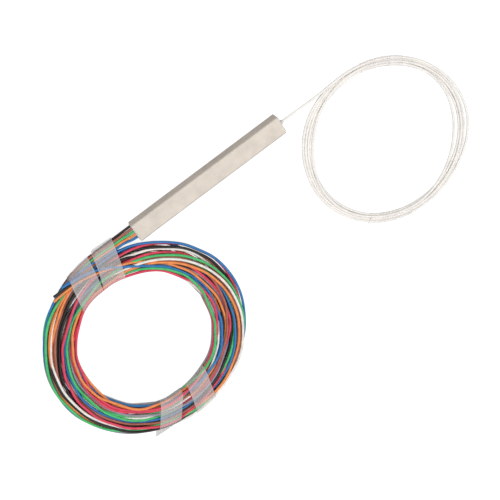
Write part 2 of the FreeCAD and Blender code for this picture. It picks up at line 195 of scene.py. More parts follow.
# ---- turns of the input coil: it winds the other way, so the bearings fall ----

INPUT_BEARINGS = (272, 243, 215, 190, 170, 149, 131, 110, 85, 60, 30, 0, -24, -43, -58, -70)
INPUT_TURNS = (
    (29.3, 28.4, 28.3, 29.2, 31.2, 32.3, 31.3, 30.6, 30.4, 30.4, 29.7, 29.9, 30.3, 31.1, 30.8,
     30.0),
    (28.7, 27.7, 27.7, 28.4, 29.5, 29.9, 29.9, 29.9, 29.8, 29.8, 29.1, 29.2, 29.4, 29.7, 30.1,
     29.4),
    (28.1, 27.0, 27.1, 27.8, 28.7, 29.1, 29.2, 29.3, 29.2, 29.1, 28.5, 28.5, 28.4, 28.4, 29.3,
     28.8),
    (27.6, 26.5, 26.6, 27.2, 28.0, 28.3, 28.5, 28.8, 28.6, 28.3, 28.0, 27.8, 27.6, 27.7, 28.6,
     28.2),
    (27.8, 26.6, 26.5, 26.6, 26.0, 25.9, 26.4, 27.9, 28.6, 28.5, 28.6, 28.2, 27.0, 27.1, 28.2,
     27.8),
    (28.3, 27.5, 27.4, 28.0, 28.4, 28.7, 28.8, 29.2, 29.3, 29.2),
)
INPUT_RANKS = (2, 3, 1, 0, 4, 5)  # place of each turn in the pile
INPUT_END = 49
INPUT_START = 280.0     # bearing of the first point that winds
INPUT_JOINED = (291.0, 31.0, 3)  # bearing, radius and place in the pile where the lead joins
INPUT_LAID = (0.6, 1.25)  # across and up, at the end of its free stretch
INPUT_BEND_START = 4.4
INPUT_BEND_RUN = 7.0
INPUT_MIDDLE = 28.7
INPUT_REACH = 5.0

# ---- settling: first points held at the lead's height, and hold on the radius ----
OUTPUT_HELD, OUTPUT_HOLD = 5, 0.3
INPUT_HELD, INPUT_HOLD = 3, 0.9
SETTLE_ROUNDS = 340
LAYERED_SHARE = 0.6     # of the rounds, before the strands sink
PULL_SHARE = 0.9        # of the rounds, in which the pull to the radius would fade out
GROWTH_START = 0.6      # size of a strand at the start, as a share of its diameter
GROWTH_SHARE = 0.8      # of the rounds, in which it would grow by a whole diameter
FIRM_LEAST, FIRM_MORE = 0.05, 0.12  # pull to the radius, and more of it for the top strands
LAYER_PULL = 0.08
SINK = 0.02             # in each later round
CARRY_PULL = 0.5
STRAIGHTEN = 0.3
PUSH = 0.4              # share of an overlap that a strand is moved by
PRESSED = 0.25          # how far the turns under the cut ends stay below the top
CUT_END_RISE = (0.2, 0.4)  # lowest and highest middle of a cut end above the top

# ---- tape ----
# node, bearing, slant to the radius, width, free end on the left and right edge of the strip
OUTPUT_TIES = (
    ("tie_lower_left", 263.4, -9.0, 8.0, 0.5, 1.0),
    ("tie_lower_right", 281.8, -22.0, 9.0, 0.5, 0.3),
    ("tie_upper_left", 98.6, -20.8, 7.9, 0.3, 0.3),
    ("tie_upper_right", 73.8, -18.2, 7.8, 3.0, 0.2),
)
INPUT_WRAPS = (("wrap_lower", 233.0), ("wrap_upper", 53.0))
WRAP_STEP = 10.9
WRAP_SLANT = -6.0
WRAP_WIDTH = 4.95
WRAP_ENDS = (0.2, 0.3)  # free end on the left and right edge of the strip
FILM_EDGE = 0.16        # width of a strip's hazier edge
FILM_MARGIN = 1.0       # from its side to the nearest inner row of points
FILM_ROWS = 9           # inner rows across the strip
FILM_POINTS = 72        # round the bundle
FILM_FAN = 20           # degrees between the points drawn round one strand
FREE_STEPS = 4
FREE_DROP = 0.18        # how fast a free end bends down

# ---- camera ----
CAMERA_PLACE = (67.44, -345.43, 639.81)
CAMERA_LENS = 158.4
CAMERA_TURN = 9.857     # bearing from which it looks, from -Y towards +X
CAMERA_RISE = 59.0
CAMERA_ROLL = 134.512

# ---- stage ----
SWEEP_SIZE = 3.0        # metres from its middle to a side
SWEEP_GLOW = 0.82
SHEEN_SHARE = 0.25      # of the glow, for what the tube's sheen shows
ROOM_LIGHT = 0.52
# name, place in metres, size in metres, watts
LAMPS = (("key", (-0.15, 0.25, 0.9), 1.0, 4.3), ("fill", (0.4, -0.7, 0.7), 0.7, 3.8))


# ---------------------------------------------------------------- sizes and colours

def shade(name, default, description):
    return StringProperty(name=name, description=description, default=default)


class SplitterLeads(bpy.types.PropertyGroup):
    """Sizes of the leads and how finely they are drawn."""

    diameter: FloatProperty(
        name="Lead diameter", description="Outside of the loose tube", default=0.9,
        min=0.3, max=3.0, unit="NONE")
    length: FloatProperty(
        name="Lead length", description="Each lead from the steel tube to its cut end",
        default=1.0, min=0.1, max=5.0, subtype="DISTANCE", unit="LENGTH")
    step: FloatProperty(
        name="Step round a coil", description="Degrees between two points of a turn",
        default=10.0, min=5.0, max=30.0)
    film: FloatProperty(
        name="Tape film", description="Thickness of the clear tape", default=0.06,
        min=0.02, max=0.3)


class SplitterColours(bpy.types.PropertyGroup):
    """Colours, as sRGB hex values."""

    blue: shade("Blue lead", "#2A7CC0", "Dyed loose tube")
    orange: shade("Orange lead", "#FB9650", "Dyed loose tube")
    green: shade("Green lead", "#4ACA76", "Dyed loose tube")
    brown: shade("Brown lead", "#B06654", "Dyed loose tube")
    slate: shade("Slate lead", "#9A9AA4", "Dyed loose tube")
    white: shade("White lead", "#FAF6F0", "Dyed loose tube")
    red: shade("Red lead", "#EC4462", "Dyed loose tube")
    black: shade("Black lead", "#1E1A1B", "Dyed loose tube")
    natural: shade("Input lead", "#FCF8F3", "Undyed loose tube")
    steel: shade("Steel tube", "#DED4C9", "Satin stainless steel")
    sealant: shade("Sealant", "#E6E2DA", "Cast epoxy")
    tape: shade("Tape", "#F8F3F1", "Clear adhesive tape")


def linear(code):
    """An sRGB hex value as linear red, green, blue and a full alpha."""
    parts = [int(code[i:i + 2], 16) / 255 for i in (1, 3, 5)]
    return [c / 12.92 if c <= 0.04045 else ((c + 0.055) / 1.055) ** 2.4 for c in parts] + [1.0]


# ---------------------------------------------------------------- materials

def add_node(tree, kind, links=(), **settings):
    """Adds a node; links are (this node's input, other node, its output)."""
    node = tree.nodes.new(kind)
    for name, value in settings.items():
        if hasattr(node, name):
            setattr(node, name, value)
        else:
            node.inputs[name.replace("_", " ")].default_value = value
    for own, other, output in links:
        tree.links.new(other.outputs[output], node.inputs[own])
    return node


def new_material(name):
    """An empty material with its output and one main shader."""
    material = bpy.data.materials.new(name)
    material.use_nodes = True
    tree = material.node_tree
    tree.nodes.clear()
    shader = add_node(tree, "ShaderNodeBsdfPrincipled")
    add_node(tree, "ShaderNodeOutputMaterial", [("Surface", shader, "BSDF")])
    return material, tree, shader


def set_shader(shader, **values):
    for name, value in values.items():
        shader.inputs[name.replace("_", " ")].default_value = value


def varied_colour(tree, code, other, scale, place):
    """Two close shades mixed by a soft noise of a real size in metres."""
    noise = add_node(tree, "ShaderNodeTexNoise", [("Vector", place, "Object")],
                     Scale=1 / scale, Detail=3.0, Roughness=0.6)
    ramp = add_node(tree, "ShaderNodeValToRGB", [("Fac", noise, "Fac")])
    ramp.color_ramp.elements[0].position = 0.3
    ramp.color_ramp.elements[0].color = linear(other)
    ramp.color_ramp.elements[1].position = 0.7
    ramp.color_ramp.elements[1].color = linear(code)
    return ramp


def darker(code, share):
    """The same hex value with every channel taken down by a share."""
    return "#" + "".join("%02X" % int(int(code[i:i + 2], 16) * (1 - share)) for i in (1, 3, 5))


def dyed_tube(name, code):
    """Extruded thermoplastic loose tube: smooth and semi-gloss, the dye slightly uneven."""
    material, tree, shader = new_material(name)
    place = add_node(tree, "ShaderNodeTexCoord")
    colour = varied_colour(tree, code, darker(code, 0.12), 0.0022, place)
    tree.links.new(colour.outputs["Color"], shader.inputs["Base Color"])
    # Faint ripples left by the extruder, 0.35 mm apart.
    ripple = add_node(tree, "ShaderNodeTexNoise", [("Vector", place, "Object")],
                      Scale=1 / 0.00035, Detail=2.0)
    bump = add_node(tree, "ShaderNodeBump", [("Height", ripple, "Fac")],
                    Strength=0.12, Distance=0.00003)
    tree.links.new(bump.outputs["Normal"], shader.inputs["Normal"])
    set_shader(shader, Roughness=0.36, IOR=1.5)
    shader.inputs["Specular IOR Level"].default_value = 0.45
    return material


def natural_tube(code):
    """Undyed loose tube: milky white with a warm cast and a soft gloss."""
    material, tree, shader = new_material("natural_loose_tube")
    place = add_node(tree, "ShaderNodeTexCoord")
    colour = varied_colour(tree, code, darker(code, 0.05), 0.004, place)
    tree.links.new(colour.outputs["Color"], shader.inputs["Base Color"])
    ripple = add_node(tree, "ShaderNodeTexNoise", [("Vector", place, "Object")],
                      Scale=1 / 0.0004, Detail=2.0)
    bump = add_node(tree, "ShaderNodeBump", [("Height", ripple, "Fac")],
                    Strength=0.1, Distance=0.00003)
    tree.links.new(bump.outputs["Normal"], shader.inputs["Normal"])
    set_shader(shader, Roughness=0.42, IOR=1.5)
    return material


def satin_steel(code):
    """Drawn stainless tube, tumbled: pale, warm and satin, with faint lines along the draw."""
    material, tree, shader = new_material("satin_drawn_steel")
    place = add_node(tree, "ShaderNodeTexCoord")
    # Draw lines 0.12 mm apart across the tube, 30 mm long along it.
    stretch = add_node(tree, "ShaderNodeMapping", [("Vector", place, "Object")])
    stretch.inputs["Scale"].default_value = (1 / 0.030, 1 / 0.00012, 1 / 0.00012)
    lines = add_node(tree, "ShaderNodeTexNoise", [("Vector", stretch, "Vector")],
                     Scale=1.0, Detail=4.0, Roughness=0.6)
    blotch = varied_colour(tree, code, darker(code, 0.06), 0.004, place)
    # Tumbling leaves a fine grain 0.25 mm across.
    grain = add_node(tree, "ShaderNodeTexNoise", [("Vector", place, "Object")],
                     Scale=1 / 0.00025, Detail=3.0)
    tone = add_node(tree, "ShaderNodeMix", data_type="RGBA", blend_type="MULTIPLY")
    tone.inputs["Factor"].default_value = 0.16
    tree.links.new(blotch.outputs["Color"], tone.inputs["A"])
    tree.links.new(grain.outputs["Color"], tone.inputs["B"])
    tree.links.new(tone.outputs["Result"], shader.inputs["Base Color"])
    rough = add_node(tree, "ShaderNodeMapRange", [("Value", lines, "Fac")])
    rough.inputs["To Min"].default_value = 0.45
    rough.inputs["To Max"].default_value = 0.6
    tree.links.new(rough.outputs["Result"], shader.inputs["Roughness"])
    bump = add_node(tree, "ShaderNodeBump", [("Height", lines, "Fac")],
                    Strength=0.2, Distance=0.00002)
    tree.links.new(bump.outputs["Normal"], shader.inputs["Normal"])
    set_shader(shader, Metallic=0.75)
    return material


def cast_sealant(code):
    """Cast epoxy: off-white, slightly glossy, with tiny cast-in unevenness."""
    material, tree, shader = new_material("cast_epoxy")
    place = add_node(tree, "ShaderNodeTexCoord")
    colour = varied_colour(tree, code, darker(code, 0.08), 0.0008, place)
    tree.links.new(colour.outputs["Color"], shader.inputs["Base Color"])
    uneven = add_node(tree, "ShaderNodeTexNoise", [("Vector", place, "Object")],
                      Scale=1 / 0.0005, Detail=3.0)
    bump = add_node(tree, "ShaderNodeBump", [("Height", uneven, "Fac")],
                    Strength=0.3, Distance=0.00006)
    tree.links.new(bump.outputs["Normal"], shader.inputs["Normal"])
    set_shader(shader, Roughness=0.3, IOR=1.52, Subsurface_Weight=0.15, Subsurface_Scale=0.0005)
    return material


def polished_silica(name, code, alpha):
    """Sawn and polished silica: clear and faintly tinted."""
    material, tree, shader = new_material(name)
    place = add_node(tree, "ShaderNodeTexCoord")
    colour = varied_colour(tree, code, darker(code, 0.06), 0.0006, place)
    tree.links.new(colour.outputs["Color"], shader.inputs["Base Color"])
    set_shader(shader, Roughness=0.12, IOR=1.46, Alpha=alpha)
    return material


def soft_silicone(code):
    """Silicone pad: matt and rubbery, slightly mottled."""
    material, tree, shader = new_material("silicone_pad")
    place = add_node(tree, "ShaderNodeTexCoord")
    colour = varied_colour(tree, code, darker(code, 0.1), 0.0007, place)
    tree.links.new(colour.outputs["Color"], shader.inputs["Base Color"])
    set_shader(shader, Roughness=0.6, IOR=1.41)
    return material


def clear_film(name, code, alpha, roughness):
    """Polypropylene tape: nearly clear with a milky haze, its glue side faintly mottled."""
    material, tree, shader = new_material(name)
    place = add_node(tree, "ShaderNodeTexCoord")
    colour = varied_colour(tree, code, darker(code, 0.03), 0.0025, place)
    tree.links.new(colour.outputs["Color"], shader.inputs["Base Color"])
    crease = add_node(tree, "ShaderNodeTexNoise", [("Vector", place, "Object")],
                      Scale=1 / 0.0016, Detail=2.0)
    bump = add_node(tree, "ShaderNodeBump", [("Height", crease, "Fac")],
                    Strength=0.25, Distance=0.00015)
    tree.links.new(bump.outputs["Normal"], shader.inputs["Normal"])
    set_shader(shader, Roughness=roughness, IOR=1.49, Alpha=alpha)
    return material


# ---------------------------------------------------------------- paths

def through(keys, values, at):
    """A smooth line through the values, without overshoot at the ends."""
    keys, values = np.asarray(keys, float), np.asarray(values, float)
    slope = np.gradient(values, keys)
    i = np.clip(np.searchsorted(keys, at) - 1, 0, len(keys) - 2)
    gap = keys[i + 1] - keys[i]
    t = np.clip((at - keys[i]) / gap, 0, 1)
    a, b = values[i], values[i + 1]
    rise = (1 + 2 * t) * (1 - t) ** 2 * a + t * t * (3 - 2 * t) * b
    lean = t * (1 - t) ** 2 * slope[i] - t * t * (1 - t) * slope[i + 1]
    return rise + gap * lean


def turns_of(table, colour):
    """One colour's turns as (place in the pile, radii)."""
    found = [(rank, radii) for rank, (name, radii) in enumerate(table) if name == colour]
    if len(found) != TURNS:
        raise RuntimeError("%s has %d turns on one side" % (colour, len(found)))
    return found


def smoothest_order(east, west, entry_radius, last_radius):
    """The turns in the order in which the strand shifts least from each to the next."""
    best = (math.inf, None, None)
    for first in permutations(east):
        if abs(first[0][1][0] - entry_radius) > best[0] ** 0.5:
            continue
        for second in permutations(west):
            starts = [turn[1][0] for turn in first[1:]] + [last_radius]
            cost = (first[0][1][0] - entry_radius) ** 2
            cost += sum((a[1][-1] - b[1][0]) ** 2 for a, b in zip(first, second))
            cost += sum((a[1][-1] - start) ** 2 for a, start in zip(second, starts))
            if cost < best[0]:
                best = (cost, first, second)
    return best[1:]


def output_winding(colour, entry_radius, entry_bearing):
    """Keys of one lead round the coil: bearing, radius and its place in the pile there."""
    entry = JOINED_RADIUS + JOINED_SPREAD * (entry_radius - ARRIVING_RADIUS)
    leaving = CUT_ENDS[colour][0][1] if colour in CUT_ENDS else HIDDEN_RADIUS
    east, west = smoothest_order(turns_of(EAST_TURNS, colour), turns_of(WEST_TURNS, colour),
                                 entry, leaving)
    keys = [(entry_bearing, entry_radius, 0), (JOINED_BEARING, entry, 0)]
    for turn in range(TURNS):
        rank_east, radii_east = east[turn]
        rank_west, radii_west = west[turn]
        start = 360 * (turn + 1)
        keys += [(start + b, r, rank_east) for b, r in zip(EAST_BEARINGS, radii_east)]
        keys += [(start + b, r, rank_west) for b, r in zip(WEST_BEARINGS, radii_west)]
    start = 360 * TURNS
    if colour in CUT_ENDS:
        keys += [(start + b, r, len(EAST_TURNS) + CUT_END_LAYER) for b, r in CUT_ENDS[colour]]
    else:
        keys.append((start + HIDDEN_END, keys[-1][1] + HIDDEN_DRIFT, keys[-1][2]))
    return keys


def sampled(keys, step, first):
    """Bearing, radius and pile place at even steps, and at the very end."""
    bearings, radii, ranks = (np.array(column, float) for column in zip(*keys))
    sign = 1 if bearings[-1] > bearings[0] else -1
    at = np.arange(first, bearings[-1] - 0.4 * sign * step, sign * step)
    at = np.append(at, bearings[-1])
    flat = through(sign * bearings, radii, sign * at)
    nearest = [int(np.argmin(abs(bearings - b))) for b in at]
    return at, flat, ranks[nearest]


def settled(strands, step, diameter, floor, top, entry_heights, held, hold, edges=None):
    """Radii and heights of all strands after they are packed, which leaves some overlaps.

    Each bearing is one cross-section of the coil. The strands grow to their full size in
    layers, and then sink. In every round they push each other a diameter apart, are drawn
    to their own radius and straighten along their length. The first points of a strand are
    held at the lead's own height. Hold is how firmly the others keep to their radius at the
    end. Edges say how far in and out the wound strands may reach.
    """
    lengths = [len(at) for at, _, _ in strands]
    starts = np.concatenate([[0], np.cumsum(lengths)])
    target = np.concatenate([radii for _, radii, _ in strands])
    ranks = np.concatenate([ranks for _, _, ranks in strands])
    bearings = np.concatenate([at for at, _, _ in strands])
    low = floor + diameter / 2
    most = max(ranks.max(), 1)
    place = np.column_stack([target, low + (top - low) * ranks / most])
    section = np.round(bearings / step).astype(int) % int(round(360 / step))
    groups = [np.nonzero(section == k)[0] for k in range(section.max() + 1)]
    widest = max(len(group) for group in groups)
    members = np.array([np.pad(group, (0, widest - len(group)), constant_values=-1)
                        for group in groups])
    used = members >= 0
    pairs = used[:, :, None] & used[:, None, :] & ~np.eye(widest, dtype=bool)
    inner = np.ones(len(target), bool)
    inner[starts[:-1]] = False
    inner[starts[1:] - 1] = False
    least, greatest = np.full(len(target), -np.inf), np.full(len(target), np.inf)
    if edges:
        at, inside, outside = np.array(edges, float).T
        wound = ranks < len(EAST_TURNS)
        for start in starts[:-1]:
            wound[start:start + held] = False
        least[wound] = np.interp(bearings, at, inside, period=360)[wound]
        greatest[wound] = np.interp(bearings, at, outside, period=360)[wound]
    target = np.clip(target, least, greatest)
    firm = FIRM_LEAST + FIRM_MORE * np.clip(ranks / most, 0, 1) ** 2
    carried = np.zeros(len(target))
    carried_height = np.zeros(len(target))
    for start, height in zip(starts[:-1], entry_heights):
        carried[start:start + held] = np.linspace(1, 0, held + 1)[:-1]
        carried_height[start:start + held] = height
    cut = ranks > len(EAST_TURNS)
    under = (bearings % 360 > CUT_ENDS_LIE[0]) & (bearings % 360 < CUT_ENDS_LIE[1])
    cap = np.where(cut, top + CUT_END_RISE[1], top - PRESSED * (under & cut.any()))
    base = np.where(cut, top + CUT_END_RISE[0], low)
    layer = np.clip(low + (top - low) * ranks / most, low, cap)
    for turn in range(SETTLE_ROUNDS):
        grown = diameter * min(1, GROWTH_START + turn / (GROWTH_SHARE * SETTLE_ROUNDS))
        pull = max(hold, 1 - turn / (PULL_SHARE * SETTLE_ROUNDS))
        if turn < LAYERED_SHARE * SETTLE_ROUNDS:
            place[:, 1] += LAYER_PULL * (layer - place[:, 1]) * (1 - carried)
        else:
            place[:, 1] -= SINK * (1 - carried)
        place[:, 1] += CARRY_PULL * carried * (carried_height - place[:, 1])
        place[:, 0] += pull * firm * (target - place[:, 0])
        straight = (np.roll(place, 1, axis=0) + np.roll(place, -1, axis=0)) / 2
        place[inner] += STRAIGHTEN * (straight - place)[inner]
        spots = place[members]
        gap = spots[:, :, None, :] - spots[:, None, :, :]
        apart = np.sqrt((gap ** 2).sum(axis=3)) + 1e-6
        push = np.where(pairs, np.clip(grown - apart, 0, None), 0) / apart
        shift = PUSH * (push[..., None] * gap).sum(axis=2)
        place[members[used]] += shift[used]
        place[:, 0] = np.clip(place[:, 0], least, greatest)
        place[:, 1] = np.clip(place[:, 1], base, cap)
    return [place[a:b] for a, b in zip(starts[:-1], starts[1:])]


def polar(centre, bearings, radii, heights):
    """Points round a centre, in millimetres."""
    angle = np.radians(bearings)
    return np.column_stack([centre[0] + radii * np.cos(angle),
                            centre[1] + radii * np.sin(angle), heights])


def cord_curve(name, points, diameter, material):
    """One open spline with the points as its control points, and the line it follows in mm."""
    curve = bpy.data.curves.new(name, "CURVE")
    curve.dimensions = "3D"
    spline = curve.splines.new("NURBS")
    spline.points.add(len(points) - 1)
    for point, place in zip(spline.points, points):
        point.co = (*(c * MM for c in place), 1.0)
    spline.order_u = 3
    spline.use_endpoint_u = True
    spline.resolution_u = 5
    curve.use_fill_caps = True
    curve.materials.append(material)
    piece = bpy.data.objects.new(name, curve)
    bpy.context.scene.collection.objects.link(piece)
    middle = bpy.data.meshes.new_from_object(piece)
    line = np.array([vertex.co for vertex in middle.vertices]) / MM
    bpy.data.meshes.remove(middle)
    curve.bevel_depth = diameter / 2 * MM
    curve.bevel_resolution = 3
    return piece, line


# ---------------------------------------------------------------- tape

def hull(points):
    """The outline of points that a taut film would take, counter-clockwise."""
    points = sorted(set((round(x, 4), round(y, 4)) for x, y in points))

    def half(run):
        line = []
        for p in run:
            while len(line) > 1 and ((line[-1][0] - line[-2][0]) * (p[1] - line[-2][1])
                                     - (line[-1][1] - line[-2][1]) * (p[0] - line[-2][0])) <= 0:
                line.pop()
            line.append(p)
        return line[:-1]

    return half(points) + half(points[::-1])


def crossings(lines, origin, along, across, offset, reach):
    """Where the strands cross an upright plane: distance along it and height."""
    found = []
    for line in lines:
        flat = line[:, :2] - origin
        side = flat @ across - offset
        run = flat @ along
        for k in np.nonzero(side[:-1] * side[1:] < 0)[0]:
            t = side[k] / (side[k] - side[k + 1])
            s = run[k] + t * (run[k + 1] - run[k])
            if abs(s) < reach:
                found.append((s, line[k, 2] + t * (line[k + 1, 2] - line[k, 2])))
    return found


def evenly(loop, count):
    """The closed outline walked in equal steps from its outermost point."""
    loop = np.array(loop)
    loop = np.roll(loop, -int(np.argmax(loop[:, 0])), axis=0)
    loop = np.vstack([loop, loop[:1]])
    walked = np.concatenate([[0], np.cumsum(np.linalg.norm(np.diff(loop, axis=0), axis=1))])
    at = np.linspace(0, walked[-1], count, endpoint=False)
    return np.column_stack([np.interp(at, walked, loop[:, i]) for i in (0, 1)])


def film_wrap(name, lines, centre, radius, bearing, slant, width, ends, diameter, film,
              materials, reach):
    """Tape wrapped taut round a bundle, with its two ends stuck together outside."""
    turn = math.radians(bearing + slant)
    along = np.array([math.cos(turn), math.sin(turn)])
    across = np.array([-along[1], along[0]])
    spoke = math.radians(bearing)
    origin = np.array(centre) + radius * np.array([math.cos(spoke), math.sin(spoke)])
    offsets = [-width / 2, -width / 2 + FILM_EDGE]
    offsets += list(np.linspace(-width / 2 + FILM_MARGIN, width / 2 - FILM_MARGIN, FILM_ROWS))
    offsets += [width / 2 - FILM_EDGE, width / 2]
    count = FILM_POINTS
    vertices, faces, kinds = [], [], []
    fan = np.radians(np.arange(0, 360, FILM_FAN))
    size = diameter / 2 + 1.5 * film
    for offset in offsets:
        spots = crossings(lines, origin, along, across, offset, reach)
        if len(spots) < 3:
            raise RuntimeError("%s finds no bundle to go round" % name)
        cloud = [(s + size * c, z + size * n) for s, z in spots
                 for c, n in zip(np.cos(fan), np.sin(fan))]
        for s, z in evenly(hull(cloud), count):
            flat = origin + along * s + across * offset
            vertices.append((flat[0] * MM, flat[1] * MM, max(z, 0.5 * film) * MM))
    rows = len(offsets)
    for row in range(rows - 1):
        for k in range(count):
            after = (k + 1) % count
            faces.append((row * count + k, row * count + after,
                          (row + 1) * count + after, (row + 1) * count + k))
            kinds.append(1 if row in (0, rows - 2) else 0)
    base = len(vertices)
    for row, offset in enumerate(offsets):
        share = offset / width + 0.5
        free = ends[0] + (ends[1] - ends[0]) * share
        foot = Vector(vertices[row * count])
        for k in range(FREE_STEPS + 1):
            out = free * k / FREE_STEPS
            drop = FREE_DROP * out * out / max(free, 0.01)
            vertices.append((foot.x + along[0] * out * MM, foot.y + along[1] * out * MM,
                             max(foot.z - drop * MM, 0.5 * film * MM)))
    for row in range(rows - 1):
        for k in range(FREE_STEPS):
            a = base + row * (FREE_STEPS + 1) + k
            b = a + FREE_STEPS + 1
            faces.append((a, a + 1, b + 1, b))
            kinds.append(1)
    mesh = bpy.data.meshes.new(name)
    mesh.from_pydata(vertices, [], faces)
    for material in materials:
        mesh.materials.append(material)
    for face, kind in zip(mesh.polygons, kinds):
        face.material_index = kind
        face.use_smooth = True
    mesh.update()
    piece = bpy.data.objects.new(name, mesh)
    bpy.context.scene.collection.objects.link(piece)
    thick = piece.modifiers.new("Film thickness", "SOLIDIFY")
    thick.thickness = film * MM
    thick.offset = 0
    return piece


# ---------------------------------------------------------------- operators

def finish_nodes(names, material):
    for name in names:
        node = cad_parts[name]
        node.data.materials.clear()
        node.data.materials.append(material)


class SPLITTER_OT_housing(bpy.types.Operator):
    """Finish the steel tube and the cast seals at its two ends"""

    bl_idname = "splitter.housing"
    bl_label = "Steel tube and seals"

    def execute(self, context):
        colours = context.scene.splitter_colours
        finish_nodes(["housing_tube"], satin_steel(colours.steel))
        sealant = cast_sealant(colours.sealant)
        finish_nodes(["input_seal", "output_seal", "input_bead"], sealant)
        return {"FINISHED"}


class SPLITTER_OT_optics(bpy.types.Operator):
    """Finish the chip, the fibre blocks, the cushions and the fibres inside the tube"""

    bl_idname = "splitter.optics"
    bl_label = "Chip and fibres"

    def execute(self, context):
        colours = context.scene.splitter_colours
        finish_nodes(["splitter_chip", "chip_lid_input", "chip_lid_output",
                      "input_fibre_block", "output_fibre_block", "input_block_lid",
                      "output_block_lid"], polished_silica("polished_silica", "#DDE6EA", 0.5))
        finish_nodes(["waveguide_core"], polished_silica("doped_core_glass", "#F2D9A0", 1.0))
        finish_nodes(["input_cushion", "output_cushion"], soft_silicone("#E4E2DC"))
        finish_nodes(["ribbon_jacket"], polished_silica("ribbon_acrylate", "#E8E6D8", 0.7))
        finish_nodes(["fibre_input"], polished_silica("fibre_acrylate", "#ECECEF", 1.0))
        for colour in LEAD_ORDER:
            finish_nodes(["fibre_" + colour],
                         dyed_tube("inked_fibre_" + colour, getattr(colours, colour)))
        return {"FINISHED"}


def lead_route(index, tube_end, middle_z):
    """Points of an output lead, from inside its seal to the coil."""
    upper = index < LEADS_IN_ROW
    place = 1.5 - index % LEADS_IN_ROW
    stagger = 0 if upper else -0.5
    z = middle_z + (0.5 if upper else -0.5) * ROW_RISE
    y = (place + stagger) * HOLE_PITCH
    laid = (place + stagger) * LAID_PITCH + LAID_SHIFT
    bend = tube_end + BEND_START
    box_low, box_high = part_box("lead_" + LEAD_ORDER[index])
    return [(box_low.x / MM, y, z), (bend, y, z), (bend + BEND_RUN, laid, z),
            (box_high.x / MM, laid, z)]


class SPLITTER_OT_output_coil(bpy.types.Operator):
    """Wind the eight coloured leads into the taped output coil"""

    bl_idname = "splitter.output_coil"
    bl_label = "Output leads and ties"

    def execute(self, context):
        leads = context.scene.splitter_leads
        colours = context.scene.splitter_colours
        low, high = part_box("output_coil")
        ring = (high.x - low.x) / 2 / MM
        centre = ((low.x + high.x) / 2 / MM, high.y / MM - ring)
        tube_low, tube_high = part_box("housing_tube")
        tube_end = tube_high.x / MM
        middle_z = (tube_low.z + tube_high.z) / 2 / MM
        routes, strands = [], []
        for index, colour in enumerate(LEAD_ORDER):
            route = lead_route(index, tube_end, middle_z)
            last = np.array(route[-1][:2]) - centre
            bearing = math.degrees(math.atan2(last[1], last[0])) % 360
            keys = output_winding(colour, float(np.hypot(*last)), bearing)
            strands.append(sampled(keys, leads.step, OUTPUT_START))
            routes.append(route)
        places = settled(strands, leads.step, leads.diameter, FLOOR_FILM, COIL_TOP,
                         [route[-1][2] for route in routes], OUTPUT_HELD, OUTPUT_HOLD,
                         COIL_EDGES)
        lines, cords = [], []
        for index, colour in enumerate(LEAD_ORDER):
            radii, heights = places[index].T
            turns = polar(centre, strands[index][0], radii, heights)
            points = np.vstack([routes[index], turns])
            material = dyed_tube("dyed_loose_tube_" + colour, getattr(colours, colour))
            cord, line = cord_curve("cord_" + colour, points, leads.diameter, material)
            lines.append(line)
            cords.append(cord)
        self.report({"INFO"}, "pile %.2f mm high" % max(line[:, 2].max() for line in lines))
        ties = self.wrap(leads, colours, centre, lines)
        for index, colour in enumerate(LEAD_ORDER):
            cord = cords[index]
            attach(cord, "root")
            stood_for = ["lead_" + colour, "output_coil"]
            if colour in CUT_ENDS:
                stood_for.append("tail_" + colour)
            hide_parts(*stood_for)
        return {"FINISHED"}

    def wrap(self, leads, colours, centre, lines):
        film = clear_film("clear_tape", colours.tape, 0.2, 0.25)
        edge = clear_film("clear_tape_edge", darker(colours.tape, 0.12), 0.5, 0.25)
        ties = []
        for node, bearing, slant, width, left, right in OUTPUT_TIES:
            tie = film_wrap(node + "_film", lines, centre, OUTPUT_MIDDLE, bearing, slant,
                            width, (left, right), leads.diameter, leads.film, (film, edge),
                            OUTPUT_REACH)
            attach(tie, "root")
            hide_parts(node)
            ties.append(tie)
        return ties


